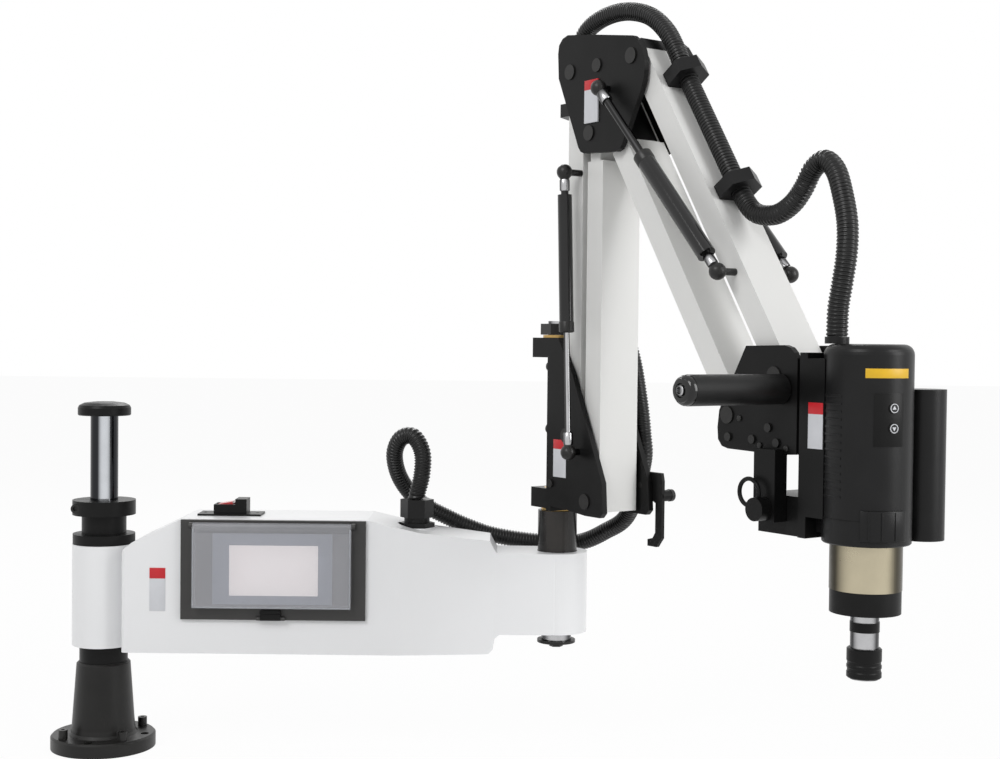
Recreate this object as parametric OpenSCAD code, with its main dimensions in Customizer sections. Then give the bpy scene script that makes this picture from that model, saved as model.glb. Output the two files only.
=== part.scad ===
// Arm tapping machine: a pedestal and column carry a swinging control arm,
// which carries a swivelling double parallelogram arm with a tapping head.
// Z is up, X runs along the control arm, and the origin is the middle of the
// pedestal's foot. The parallelogram arm is drawn in its own swing plane:
// there u runs outwards from the pivot shaft, n across the plane, z up.

/* [Pedestal and column] */
// Diameter of the round foot flange
foot_d = 113; // [112:1:130]
// Thickness of the foot flange
foot_t = 15; // [12:1:18]
// Diameter of the pedestal cone at the top
pedestal_top_d = 58; // [54:1:62]
// Diameter of the foot's bolt holes
foot_hole_d = 9; // [7:0.5:10]
// Diameter of the column
column_d = 30; // [28:1:32]
// Diameter of the column's cap
cap_d = 57; // [50:1:62]
// Height of the column's cap
cap_h = 15; // [12:1:18]

/* [Control arm] */
// Depth of the control arm's housing, front to back
arm_depth = 92; // [90:1:96]
// Wall of the housing
arm_wall = 3; // [2.5:0.5:3.5]
// Depth of the clear screen cover
lid_depth = 10; // [9:0.5:13]
// Diameter of the spacer sleeve below the bracket
spacer_d = 43; // [38:1:46]

/* [Parallelogram arm] */
// Wall of an arm tube
tube_wall = 3; // [2:0.5:4]
// Diameter of the arm's pins
pin_d = 12; // [10:0.5:12]
// Diameter of an upper gas spring's cylinder
gas_d = 18; // [15:1:18]
// Diameter of an upper gas spring's rod
rod_d = 8; // [6:1:9]

/* [Tapping head] */
// Diameter of the gearbox
gear_d = 62; // [58:1:66]
// Diameter of the spindle
spindle_d = 24.5; // [23:0.5:25]
// Diameter of the quick-change sleeve
chuck_d = 30; // [28:0.5:32]
// Diameter of the tap holder's bore in the spindle
chuck_bore_d = 19; // [17:0.5:20]
// Depth of the tap holder's bore
chuck_bore_h = 30; // [25:1:34]
// Length of the side handle
handle_len = 110; // [100:1:130]
// Diameter of the side handle
handle_d = 27; // [24:1:29]

/* [Conduit] */
// Bore of the ribbed conduit
hose_bore = 14; // [12:0.5:15]
// Depth of the conduit's grooves
rib_depth = 1.2; // [0.8:0.1:1.4]

/* [Hidden] */

$fn = 48;
gap = 0.3;               // between faces that move past each other
run = 0.05;              // radial clearance of a running pin
eps = 0.01;

// Heights on the column, each standing on the one below
pedestal_h = 95;
ring_h = 19;
sleeve_z = pedestal_h + ring_h;
sleeve_h = 111;
flange_z = sleeve_z + sleeve_h;
flange_h = 11;
neck_h = 21;
collar_z = flange_z + flange_h + neck_h;
collar_h = 16;
column_top = 366;
ring_d = 52;
sleeve_d = 68;
flange_d = 67;
neck_d = 48;
collar_d = 68;
foot_pcd = 94;

// Control arm, seen from the front
pivot_x = 500;
arm_z = sleeve_z - 1;
arm_left = 30;
arm_top = arm_z + 145;
end_z = arm_z + 21;
end_top = end_z + 88;
end_r = 33;
end_x = pivot_x + end_r;
step_x = pivot_x - 69;
taper_x = 330;
front_y = -arm_depth / 2;
frame_x = 95;
frame_w = 198;
frame_h = 107;
frame_z = arm_top - frame_h - 0.5;
frame_t = 4;
frame_y = front_y - frame_t;
bezel = [129.5, 167.5, 128, 76];     // the screen's bezel: x, z, width, height
bezel_t = 2.5;
view = [147.5, 177, 95, 54];         // its lit area
lid_x = 109;
lid_w = 169;
lid_h = 88;
lid_axis = [frame_y - gap - 3.5, 252];
latch_x = 181;
latch_w = 22;
latch_axis = [frame_y - gap - 2.2, 152.5];
switch_x = 106;
switch_w = 69;
rocker_x = switch_x + 29.5;
rocker_z = arm_top + 9;
gland_x = 345;
gland_z = arm_top - 11.5;
gland_top = 277;

// Pivot stack: spacer, bracket and nut stand on the arm's end
shaft_d = 25;
boss_d = 44;
spacer_h = 45;
bush_wall = 2.5;
bush_flange = 3;
bracket_z = end_top + spacer_h + gap + bush_flange;
bracket_h = 186;
bracket_top = bracket_z + bracket_h;
lug = 42;
lug_h = 21.5;
web_u = 24;
web_t = 8;
nut_h = 12;
nut_z = bracket_top + bush_flange + gap;

// Swing plane: pins in u and z
swing_angle = 55;        // of the arm's swing plane, towards the front
tube_w = 25;
tube_n = 50;
plate_t = 6;
plate_in = tube_n / 2 + 3;
plate_out = plate_in + plate_t;
lower_len = 382;
upper_len = 374;
upper_slope = 57;        // of the upper arm, below the level
upper_dir = [cos(upper_slope), -sin(upper_slope)];
rear_low = [58, bracket_z + 82.7];
front_low = [91, bracket_z + 15.7];
rear_top = rear_low + [0, lower_len];
front_top = front_low + [0, lower_len];
upper_top = rear_top + [99, 3];
upper_low = rear_top + [40, -35];
wrist_top = upper_top + upper_len * upper_dir;
wrist_low = upper_low + upper_len * upper_dir;
tie_bolt = rear_top + [45, 1];
head_r = 8;              // pin head
head_t = 1.5;
fit_r = 8;               // half the width of a tube's narrow end fitting

// Gas springs: studs in u and z
lower_stud = rear_low + [21, -16];
lower_stud_top = rear_top + [9, -106];
upper_stud = rear_top + [64, -26];
upper_stud_low = upper_top + 262 * upper_dir;
gas_n = plate_out + 13;
lower_gas_d = 15;
lower_rod_d = 6;
socket_d = 13;

// Wrist and tapping head
wrist_face = wrist_top[0] + 28;      // outer face of the wrist's end plate
swivel_z = wrist_top[1] - 24.3;      // axis on which the head turns
carrier_u = wrist_face + gap + 2.7;
carrier_t = 9;
motor_d = 76;
motor_u = carrier_u + carrier_t + 1 + motor_d / 2;
motor_z = swivel_z - 118;
motor_top = motor_z + 171;
gear_h = 40;
gear_z = motor_z - gear_h;
gear_flange_h = 20;
gear_flange_z = gear_z - gear_flange_h;
chuck_z = gear_flange_z - 58;
chuck_h = 26;
button_turn = -16;
button_zs = [motor_top - 53.5, motor_top - 70.5];
side_r = 20;
side_at = [motor_u + 10, 59.5];
head_gland_at = [motor_u - 22.2, -16];
head_gland_h = 6;
plunger_at = [wrist_top[0] + 1.3, swivel_z - 94];   // u and z of the index plunger
lock_n = -46;                        // outer face of its block
handle_at = [wrist_top[0] + 9, wrist_top[1] - 12];
hook_at = [106, 302];

// Conduit
hose_d = 19;
rib_pitch = 9;
conduit_out = tube_w / 2 + hose_d / 2 + 3;   // conduit's middle, off the tube's middle
clip_t = 14;
clip_w = 38;
clip_at = [42, 180];                 // places of the clips along the upper tube
lower_clip_at = 347;                 // and along the lower tube

// Puts u, n and z into the frame of the whole
function out(p) = [pivot_x + p[0] * cos(swing_angle) + p[1] * sin(swing_angle),
    p[1] * cos(swing_angle) - p[0] * sin(swing_angle), p[2]];

// Conduit routes: the first in x, y and z up to the arm, the others in u, n and z
lower_route = concat([[345, 0, 277.5], [345, 0, 283], [350, 1, 304], [350, 5, 328], [340, 11, 345],
    [326, 18, 343], [318, 26, 326], [321, 36, 303], [332, 48, 282], [349, 57.5, 265], [375, 61, 251],
    [400, 61, 240], [431, 61, 230], [480, 59, 223.5], [525, 52, 224], [555, 34, 239], [579, 12, 262]],
    [for (p = [[80, 54, 322], [86, 48, 356], [80, 46.5, 396], [68, 46, 438], [52, 40, 478],
        [36, 31, 510], [33, 16, 540], [33, 3, 575], [33, 0, 612], [33, 0, 656], [33, 0, 699.8]]) out(p)]);
elbow_route = [[33, 0, 700.2], [33, 0, 708], [31, 0, 724], [27, 0, 746], [30, 0, 768], [42, 0, 784],
    [63, 0, 792.5], [90, 0, 795.5], [118, 0, 792.5], [147, 0, 782.5], [171, 0, 764], [187, 0, 741.5],
    [197.3, 0, 721.7], [200.6, 0, 716.7]];
head_route = [[201.2, 0, 715.8], [212, 0, 699.3], [244, 0, 650], [265, 0, 617.6], [280.5, 0, 593.8],
    [299, 0, 575], [325, 0, 571], [346, 0, 579], [360, 0, 592.5], [371, 0, 608.5], [385, 0, 615.5],
    [399, -1, 605.5], [409, -3, 585], [418, -6, 558], [421.5, -10, 532], [420.5, -13.5, 507],
    [418, -15.5, 485], [417.5, -16, 466], [417.5, -16, 459.6]];

// ---------------------------------------------------------------- helpers

// Puts its children, drawn in u, n and z, into the swing plane
module swing() {
    translate([pivot_x, 0, 0]) rotate([0, 0, -swing_angle]) children();
}

// A cylinder along Y through [x, z] from y0 to y1
module along_y(x, z, y0, y1, r) {
    translate([x, y0, z]) rotate([-90, 0, 0]) cylinder(h = y1 - y0, r = r);
}

// A cylinder along X through [y, z] from x0 to x1
module along_x(y, z, x0, x1, r) {
    translate([x0, y, z]) rotate([0, 90, 0]) cylinder(h = x1 - x0, r = r);
}

// A 2D outline drawn in x and z, standing from y0 to y1
module standing(y0, y1) {
    translate([0, y1, 0]) rotate([90, 0, 0]) linear_extrude(y1 - y0) children();
}

// A 2D outline drawn in y and z, lying from x0 to x1
module lying(x0, x1) {
    translate([x0, 0, 0]) rotate([90, 0, 90]) linear_extrude(x1 - x0) children();
}

// A hexagon prism of the given width across flats
module hexagon(across, h) {
    cylinder(h = h, r = across / sqrt(3), $fn = 6);
}

// A point at a share s of the way along segment i of a smooth curve
function curve_at(p, i, s) =
    let (n = len(p), p0 = p[max(i - 1, 0)], p1 = p[i], p2 = p[i + 1], p3 = p[min(i + 2, n - 1)])
    0.5 * (2 * p1 + (p2 - p0) * s + (2 * p0 - 5 * p1 + 4 * p2 - p3) * s * s
        + (3 * p1 - p0 - 3 * p2 + p3) * s * s * s);

// The route with a point about every step millimetres
function fine(p, step) = [for (i = [0:len(p) - 2])
    let (m = max(1, round(norm(p[i + 1] - p[i]) / step))) for (k = [0:m - 1]) curve_at(p, i, k / m),
    p[len(p) - 1]];

function tangent(p, i) = let (a = p[max(i - 1, 0)], b = p[min(i + 1, len(p) - 1)]) (b - a) / norm(b - a);

// The side direction a, turned just enough to stand square on t
function squared(a, t) = let (b = a - (a * t) * t) b / norm(b);

function ring_points(c, t, a, r, sides) = let (b = cross(t, a))
    [for (i = [0:sides - 1]) c + r * cos(360 * i / sides) * a + r * sin(360 * i / sides) * b];

// Least distance between two stretches of a route that don't follow on from each other
function least_gap(p, apart) = min([for (i = [0:len(p) - 1], j = [i + apart:1:len(p) - 1])
    norm(p[i] - p[j])]) - hose_d;

// A ribbed hose with its bore: two rings of points to a rib outside, fewer inside
module ribbed_hose(route, r, bore_r, depth, pitch, side = [0, 1, 0], sides = 8) {
    p = fine(route, pitch / 2);
    n = len(p);
    t = [for (i = [0:n - 1]) tangent(p, i)];
    a = [for (i = 0, a = squared(side, t[0]); i < n; a = squared(a, t[min(i + 1, n - 1)]), i = i + 1) a];
    outer = [for (i = [0:n - 1]) each ring_points(p[i], t[i], a[i],
        (i % 2 == 1 && i < n - 1) ? r - depth : r, sides)];
    inner = [for (i = [0:n - 1]) if (i % 3 == 0 || i == n - 1) i];
    bore = [for (i = inner) each ring_points(p[i], t[i], a[i], bore_r, sides)];
    base = n * sides;
    m = len(inner);
    echo(str("ribs ", floor(n / 2), ", least gap of the conduit to itself ", least_gap(p, 12)));
    polyhedron(points = concat(outer, bore), faces = concat(
        [for (i = [0:n - 2], k = [0:sides - 1]) let (l = (k + 1) % sides)
            each [[i * sides + k, (i + 1) * sides + k, (i + 1) * sides + l],
                  [i * sides + k, (i + 1) * sides + l, i * sides + l]]],
        [for (i = [0:m - 2], k = [0:sides - 1]) let (l = (k + 1) % sides)
            each [[base + i * sides + k, base + (i + 1) * sides + l, base + (i + 1) * sides + k],
                  [base + i * sides + k, base + i * sides + l, base + (i + 1) * sides + l]]],
        [for (k = [0:sides - 1]) let (l = (k + 1) % sides)
            each [[k, l, base + l], [k, base + l, base + k]]],
        [for (k = [0:sides - 1]) let (l = (k + 1) % sides, e = (n - 1) * sides, f = base + (m - 1) * sides)
            each [[e + k, f + l, e + l], [e + k, f + k, f + l]]]), convexity = 10);
}

// ---------------------------------------------------------------- pedestal and column

module pedestal() color([0.13, 0.13, 0.13]) difference() {
    rotate_extrude($fn = 96) polygon([[column_d / 2, 0], [foot_d / 2, 0], [foot_d / 2, foot_t - 2],
        [foot_d / 2 - 2, foot_t], [37.5, foot_t], [35, foot_t + 3], [34, foot_t + 8],
        [pedestal_top_d / 2, pedestal_h - 2], [pedestal_top_d / 2 - 2, pedestal_h],
        [column_d / 2, pedestal_h]]);
    for (a = [-5:90:265]) rotate(a) translate([foot_pcd / 2, 0, -1]) cylinder(h = foot_t + 6, d = foot_hole_d);
    for (a = [40:90:310]) rotate(a) translate([foot_pcd / 2, 0, -1]) cylinder(h = foot_t + 6, r = 4);
}

module levelling_screws() color([0.1, 0.1, 0.1]) for (a = [40:90:310]) rotate(a)
    translate([foot_pcd / 2, 0, 0]) difference() {
        union() {
            translate([0, 0, 0.5]) cylinder(h = foot_t, r = 4);
            translate([0, 0, foot_t]) cylinder(h = 10, r = 5);
        }
        translate([0, 0, foot_t + 5]) hexagon(4, 6);
    }

module column() color([0.75, 0.76, 0.78]) cylinder(h = column_top, d = column_d);

module column_cap() color([0.1, 0.1, 0.1]) translate([0, 0, column_top])
    rotate_extrude($fn = 96) polygon([[0, 0], [cap_d / 2 - 1, 0], [cap_d / 2, 1], [cap_d / 2, cap_h * 0.55],
        [cap_d / 2 - 1.5, cap_h * 0.75], [cap_d * 0.38, cap_h * 0.92], [cap_d * 0.2, cap_h], [0, cap_h]]);

module column_ring(z, h, d) translate([0, 0, z]) difference() {
    cylinder(h = h, d = d, $fn = 96);
    translate([0, 0, -1]) cylinder(h = h + 2, r = column_d / 2 + run);
}

module lower_ring() color([0.1, 0.1, 0.1]) column_ring(pedestal_h, ring_h - gap, ring_d);

module bearing_flange() color([0.1, 0.1, 0.1]) {
    column_ring(flange_z + gap, flange_h - gap + eps, flange_d);
    column_ring(flange_z + flange_h, neck_h, neck_d);
}

collar_screw_z = collar_z + collar_h / 2;
module clamp_collar() color([0.09, 0.09, 0.09]) difference() {
    column_ring(collar_z, collar_h, collar_d);
    translate([-collar_d, -1, collar_z - 1]) cube([collar_d, 2, collar_h + 2]);
    along_y(-25, collar_screw_z, -collar_d, collar_d, 3);
    along_y(-25, collar_screw_z, -collar_d, -19, 5.2);
}

module collar_screw() color([0.2, 0.2, 0.2]) difference() {
    union() {
        along_y(-25, collar_screw_z, -25, -19, 5);
        along_y(-25, collar_screw_z, -20, 20, 3);
    }
    translate([-25, -26, collar_screw_z]) rotate([-90, 0, 0]) hexagon(5, 4);
}

// ---------------------------------------------------------------- control arm

module hub_sleeve() color([0.93, 0.93, 0.92]) translate([0, 0, sleeve_z]) difference() {
    cylinder(h = sleeve_h, d = sleeve_d, $fn = 96);
    translate([0, 0, -1]) cylinder(h = sleeve_h + 2, r = column_d / 2 + run);
}

// The housing's outline from the front, drawn in by i
module arm_front(i) offset(delta = -i) polygon([[arm_left, arm_z], [step_x - 6, arm_z],
    [step_x - 1, arm_z + 5], [step_x + 1, end_z - 4], [step_x + 6, end_z],
    [end_x + 10, end_z], [end_x + 10, end_top], [step_x + 3, end_top],
    [step_x, end_top + 4], [step_x - 5, end_top + 14], [350, arm_top - 13],
    [294, arm_top], [95, arm_top], [42, arm_top - 26], [arm_left + 2, arm_top - 34], [arm_left, arm_top - 40]]);

// The housing's outline from above, drawn in by i
module arm_plan(i) offset(delta = -i) {
    offset(r = 5) offset(delta = -5) polygon([[arm_left, front_y], [taper_x, front_y], [step_x, -end_r - 1],
        [pivot_x, -end_r], [pivot_x, end_r], [step_x, end_r + 1], [taper_x, -front_y], [arm_left, -front_y]]);
    translate([pivot_x, 0]) circle(r = end_r, $fn = 96);
}

module arm_solid(i) intersection() {
    standing(front_y - 1, 1 - front_y) arm_front(i);
    translate([0, 0, arm_z - 1]) linear_extrude(150) arm_plan(i);
}

module arm_housing() color([0.93, 0.93, 0.92]) difference() {
    union() {
        difference() {
            arm_solid(0);
            difference() {
                arm_solid(arm_wall);
                translate([pivot_x, 0, end_z - 1]) cylinder(h = 92, d = boss_d + 6);
            }
        }
        translate([gland_x, 0, gland_z - 7]) cylinder(h = 7, r = 20);
    }
    translate([gland_x, 0, gland_z]) cylinder(h = 30, r = 21);
    translate([gland_x, 0, gland_z - 30]) cylinder(h = 60, r = hose_bore / 2);
    // the underside is open for the bottom plate
    translate([46, -34, arm_z - 1]) cube([280, 68, 8]);
    // window for the screen, in the front wall
    translate([frame_x + 12, front_y - 1, frame_z + 12]) cube([frame_w - 24, arm_wall + 4, frame_h - 24]);
    cylinder(h = 400, d = sleeve_d, $fn = 96);
    translate([pivot_x, 0, end_z - 1]) cylinder(h = 92, d = boss_d);
    translate([switch_x + 17, -11, arm_top - 10]) cube([36, 22, 20]);
}

module bottom_plate() color([0.8, 0.8, 0.8]) difference() {
    translate([41, -39, arm_z + arm_wall]) cube([290, 78, 2]);
    for (x = [70:30:200], y = [-14, 0, 14]) translate([x, y - 1.5, arm_z]) cube([20, 3, 8]);
}

module pivot_boss() color([0.6, 0.6, 0.62]) translate([pivot_x, 0, end_z]) difference() {
    cylinder(h = end_top - end_z, d = boss_d);
    translate([0, 0, -1]) cylinder(h = 100, d = shaft_d);
}

module drive_unit() color([0.3, 0.32, 0.34]) translate([240, -23, arm_z + arm_wall + 2]) difference() {
    cube([72, 60, 80]);
    for (k = [0:6]) translate([6 + k * 9, -1, 66]) cube([4, 62, 20]);
}

// A hinge pin along X between two ears that stand off the frame
module ears(axis, x0, x1, pin_r, r) {
    along_x(axis[0], axis[1], x0 - 2, x1 + 2, pin_r);
    for (x = [x0 - gap - 4, x1 + gap]) lying(x, x + 4) {
        translate(axis) circle(r = r);
        translate([axis[0], axis[1] - r]) square([frame_y - axis[0] + eps, 2 * r]);
    }
}

module screen_frame() color([0.33, 0.33, 0.32]) {
    difference() {
        translate([frame_x, frame_y, frame_z]) cube([frame_w, frame_t, frame_h]);
        translate([bezel[0] + 4, frame_y - 1, bezel[1] + 4]) cube([bezel[2] - 8, frame_t + 2, bezel[3] - 8]);
    }
    ears(lid_axis, lid_x, lid_x + lid_w, 1.5, 3.3);
    ears(latch_axis, latch_x, latch_x + latch_w, 1, 2);
}

module touch_screen() color([0.45, 0.48, 0.52]) difference() {
    union() {
        translate([bezel[0], frame_y - bezel_t, bezel[1]]) cube([bezel[2], bezel_t, bezel[3]]);
        translate([bezel[0] + 4, frame_y - eps, bezel[1] + 4]) cube([bezel[2] - 8, 26, bezel[3] - 8]);
    }
    translate([view[0], frame_y - bezel_t - 1, view[1]]) cube([view[2], 1.6, view[3]]);
}

module screen_cover() color([0.75, 0.8, 0.88, 0.5]) difference() {
    lying(lid_x, lid_x + lid_w) translate(lid_axis) polygon([[3.5, -lid_h + 0.5], [3.5 - lid_depth, -lid_h + 0.5],
        [3.5 - lid_depth, -4], [-3.2, 1.5], [-1.5, 3.2], [1.5, 3.2], [3.2, 1.5], [3.5, 0]]);
    translate([lid_x + 2, frame_y - gap - lid_depth + 2, lid_axis[1] - lid_h + 2.5])
        cube([lid_w - 4, lid_depth, lid_h - 9.5]);
    along_x(lid_axis[0], lid_axis[1], lid_x - 1, lid_x + lid_w + 1, 1.5 + run);
}

module cover_latch() color([0.12, 0.12, 0.12]) difference() {
    lying(latch_x, latch_x + latch_w) translate(latch_axis) {
        circle(r = 2.2);
        polygon([[-2.2, 0], [2.2, 0], [2.2, 8], [0, 9], [-3.5, 9], [-3.5, 6], [-2.2, 5]]);
    }
    along_x(latch_axis[0], latch_axis[1], latch_x - 1, latch_x + latch_w + 1, 1 + run);
}

module switch_plate() color([0.1, 0.1, 0.1]) {
    difference() {
        union() {
            translate([switch_x, -16, arm_top]) cube([switch_w, 32, 2]);
            translate([switch_x + 17, -12, arm_top]) cube([36, 24, 12]);
            translate([switch_x + 40.5, -12, arm_top]) cube([12.5, 24, 18]);
        }
        translate([switch_x + 19, -7.7, arm_top - 1]) cube([21, 15.4, 20]);
        for (x = [6, switch_w - 6]) translate([switch_x + x, 0, arm_top - 1]) cylinder(h = 4, r = 2);
    }
    along_y(rocker_x, rocker_z, -8, 8, 1.5);
}

module switch_rocker() color([0.75, 0.08, 0.1]) translate([rocker_x, 0, rocker_z]) rotate([0, -10, 0])
    difference() {
        translate([-8, -7.4, -3]) cube([16, 14.8, 7.5]);
        along_y(0, 0, -8, 8, 1.5 + run);
    }

module gland(d, h) difference() {
    union() {
        hexagon(d, 5);
        cylinder(h = h - 4, r = d / 2 - 3);
        translate([0, 0, h * 0.35]) hexagon(d - 2, h * 0.65);
    }
    translate([0, 0, -1]) cylinder(h = h + 2, r = hose_bore / 2);
}

module arm_gland() color([0.08, 0.08, 0.08]) translate([gland_x, 0, gland_z]) gland(34, gland_top - gland_z);

// ---------------------------------------------------------------- pivot and bracket

module pivot_shaft() color([0.6, 0.6, 0.62]) translate([pivot_x, 0, end_z - 9])
    cylinder(h = nut_z + nut_h + 3 - end_z + 9, d = shaft_d);

module pivot_spacer() color([0.08, 0.08, 0.08]) translate([pivot_x, 0, end_top]) difference() {
    cylinder(h = spacer_h, d = spacer_d, $fn = 64);
    translate([0, 0, -1]) cylinder(h = spacer_h + 2, d = shaft_d);
}

module pivot_bushes() color([0.72, 0.58, 0.3])
    for (b = [[bracket_z, -bush_flange], [bracket_top - lug_h, lug_h]]) translate([pivot_x, 0, b[0]]) difference() {
        union() {
            cylinder(h = lug_h, r = shaft_d / 2 + bush_wall);
            translate([0, 0, b[1]]) cylinder(h = bush_flange, r = shaft_d / 2 + bush_wall + 3);
        }
        translate([0, 0, -9]) cylinder(h = lug_h + 18, r = shaft_d / 2 + run);
    }

module pivot_fasteners() color([0.2, 0.2, 0.2]) translate([pivot_x, 0, 0]) {
    difference() {
        translate([0, 0, nut_z]) hexagon(36, nut_h);
        translate([0, 0, nut_z - 1]) cylinder(h = 40, d = shaft_d);
    }
    difference() {
        union() {
            translate([0, 0, end_z - 10]) cylinder(h = 10, r = 16);
            translate([0, 0, end_z - 13]) cylinder(h = 3 + eps, r = 21);
            translate([0, 0, end_z - 18]) hexagon(13, 5 + eps);
        }
        translate([0, 0, end_z - 9]) cylinder(h = 40, d = shaft_d);
    }
}

bracket_side = [[web_u, bracket_z + 6], [60, bracket_z + 4], [92, bracket_z + 1], [116, bracket_z + 1],
    [121, bracket_z + 6], [119, bracket_z + 37], [68, bracket_z + 147], [42, bracket_top], [web_u, bracket_top]];
web_screws = [for (z = [88, 155], n = [-27, 27]) [n, bracket_z + z]];
side_screw = [web_u + 8, bracket_z + 30];

module both_plates() for (s = [-1, 1])
    standing(s > 0 ? plate_in : -plate_out, s > 0 ? plate_out : -plate_in) children();

module swing_bracket() color([0.07, 0.07, 0.07]) swing() difference() {
    union() {
        both_plates() polygon(bracket_side);
        translate([web_u, -plate_out, bracket_z]) cube([web_t, 2 * plate_out, bracket_h]);
        for (z = [bracket_z, bracket_top - lug_h]) translate([-lug / 2, -lug / 2, z])
            cube([lug / 2 + web_u + 1, lug, lug_h]);
    }
    for (z = [bracket_z - 1, bracket_top - lug_h - 1]) translate([0, 0, z])
        cylinder(h = lug_h + 2, r = shaft_d / 2 + bush_wall);
    for (p = [rear_low, front_low]) along_y(p[0], p[1], -plate_out - 1, plate_out + 1, pin_d / 2);
    for (p = web_screws) along_x(p[0], p[1], web_u - 1, web_u + web_t + 6, 3);
    for (s = [-1, 1]) along_y(side_screw[0], side_screw[1], s > 0 ? 20 : -40, s > 0 ? 40 : -20, 3);
    along_y(hook_at[0], hook_at[1], 20, 40, 3);
}

module bracket_screws() color([0.12, 0.12, 0.12]) swing() {
    for (p = web_screws) {
        along_x(p[0], p[1], web_u - 5, web_u, 5.5);
        along_x(p[0], p[1], web_u - 1, web_u + web_t + 5, 3);
    }
    for (s = [-1, 1]) {
        along_y(side_screw[0], side_screw[1], s > 0 ? plate_out : -plate_out - 2, s > 0 ? plate_out + 2 : -plate_out, 4.5);
        along_y(side_screw[0], side_screw[1], s > 0 ? 21 : -plate_out - 1, s > 0 ? plate_out + 1 : -21, 3);
    }
    along_y(hook_at[0], hook_at[1], plate_in, plate_out + 5, 3);
    along_y(hook_at[0], hook_at[1], plate_out + 4 + 2 * gap, plate_out + 8, 6);
}

// ---------------------------------------------------------------- parallelogram arm

// A tube along X from its pin at 0 to its pin at l, e0 and e1 past them; where f0 or f1
// is given, the last stretch is a narrow end fitting that length from the pin
module arm_tube(l, e0, e1, f0 = 0, f1 = 0) {
    x0 = f0 > 0 ? f0 : -e0;
    x1 = f1 > 0 ? l - f1 : l + e1;
    difference() {
        union() {
            translate([x0, -tube_n / 2, -tube_w / 2]) cube([x1 - x0, tube_n, tube_w]);
            for (f = [[0, 0, f0], [l, l - f1, f1]]) if (f[2] > 0) {
                along_y(f[0], 0, -tube_n / 2, tube_n / 2, fit_r);
                translate([f[1], -tube_n / 2, -fit_r]) cube([f[2] + eps, tube_n, 2 * fit_r]);
            }
        }
        translate([max(x0, 12) + 10, tube_wall - tube_n / 2, tube_wall - tube_w / 2])
            cube([min(x1, l - 12) - max(x0, 12) - 20, tube_n - 2 * tube_wall, tube_w - 2 * tube_wall]);
        for (x = [0, l]) along_y(x, 0, -tube_n, tube_n, pin_d / 2 + run);
        along_y(l / 2, 0, 0, tube_n, 3);
    }
}

// Puts a tube drawn along X onto its first pin p, turned down by angle
module place(p, angle) translate([p[0], 0, p[1]]) rotate([0, angle, 0]) children();

module lower_rear_tube() color([0.85, 0.85, 0.83]) swing() place(rear_low, -90) arm_tube(lower_len, 15, 13);
module lower_front_tube() color([0.85, 0.85, 0.83]) swing() place(front_low, -90)
    arm_tube(lower_len, 11, 0, 0, 28);
module upper_top_tube() color([0.85, 0.85, 0.83]) swing() place(upper_top, upper_slope) arm_tube(upper_len, 12, 9);
module upper_low_tube() color([0.85, 0.85, 0.83]) swing() place(upper_low, upper_slope)
    arm_tube(upper_len, 0, 9, 58, 0);

// A pin across both side plates, with a head outside each
module cross_pin(p, r, big) {
    along_y(p[0], p[1], -plate_out - 1, plate_out + 1, r);
    for (s = [-1, 1]) along_y(p[0], p[1], s > 0 ? plate_out : -plate_out - head_t,
        s > 0 ? plate_out + head_t : -plate_out, big);
}

module lower_pins() color([0.15, 0.15, 0.15]) swing()
    for (p = [rear_low, front_low]) cross_pin(p, pin_d / 2, head_r);

elbow_holes = [rear_top, front_top, upper_top, upper_low];
module elbow_plates() color([0.05, 0.05, 0.05]) swing() difference() {
    both_plates() translate(rear_top) polygon([[-5, 39.5], [-14, 37], [-20, 31], [-21.5, 22], [-20, -4],
        [15, -80], [19, -85], [24, -87], [77, -90], [83, -88], [87, -83], [114, -34], [118, -24], [119.5, -14],
        [119.5, -4], [116, 8], [109, 17], [101, 22.5], [40, 33]]);
    for (p = elbow_holes) along_y(p[0], p[1], -plate_out - 1, plate_out + 1, pin_d / 2);
    along_y(tie_bolt[0], tie_bolt[1], -plate_out - 1, plate_out + 1, 4);
}

module elbow_pins() color([0.15, 0.15, 0.15]) swing() {
    for (p = elbow_holes) cross_pin(p, pin_d / 2, head_r);
    cross_pin(tie_bolt, 4, 7);
}

wrist_plate = [[-36, 26], [12, 27], [19, 25], [24, 20.5], [27, 14], [28, 6], [28, -69], [7, -70.5], [-58, -69],
    [-66, -67], [-71, -61], [-72, -50], [-70, -34]];
module wrist_bracket() color([0.06, 0.06, 0.06]) swing() difference() {
    union() {
        both_plates() translate(wrist_top) polygon(wrist_plate);
        translate([wrist_face - 9, -plate_out, swivel_z - 44]) cube([9, 2 * plate_out, 84]);
        translate([plunger_at[0] - 13, lock_n, plunger_at[1] - 11]) cube([26, -31 - lock_n, 64]);
    }
    for (p = [wrist_top, wrist_low]) along_y(p[0], p[1], -plate_out - 1, plate_out + 1, pin_d / 2);
    along_x(0, swivel_z, wrist_face - 20, wrist_face + 1, 10 + run);
    along_y(plunger_at[0], plunger_at[1], lock_n - 1, -30, 4 + run);
    along_y(handle_at[0], handle_at[1], -plate_out - 1, 0, 5);
    for (p = wrist_bolts, s = [-1, 1]) along_y(p[0], p[1], s > 0 ? plate_in - 1 : -40, s > 0 ? 40 : 1 - plate_in, 2.5);
}

wrist_bolts = [for (p = [[-6, -47], [-26, -58.5], [4.5, -60], [-57, -58]]) wrist_top + p];
module wrist_pins() color([0.15, 0.15, 0.15]) swing() {
    for (p = [wrist_top, wrist_low]) cross_pin(p, pin_d / 2, head_r);
    for (p = wrist_bolts, s = [-1, 1]) {
        along_y(p[0], p[1], s > 0 ? plate_in : -plate_out - 1, s > 0 ? plate_out + 1 : -plate_in, 2.5);
        along_y(p[0], p[1], s > 0 ? plate_out : -plate_out - 2, s > 0 ? plate_out + 2 : -plate_out, 4);
    }
}

// ---------------------------------------------------------------- gas springs

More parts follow.
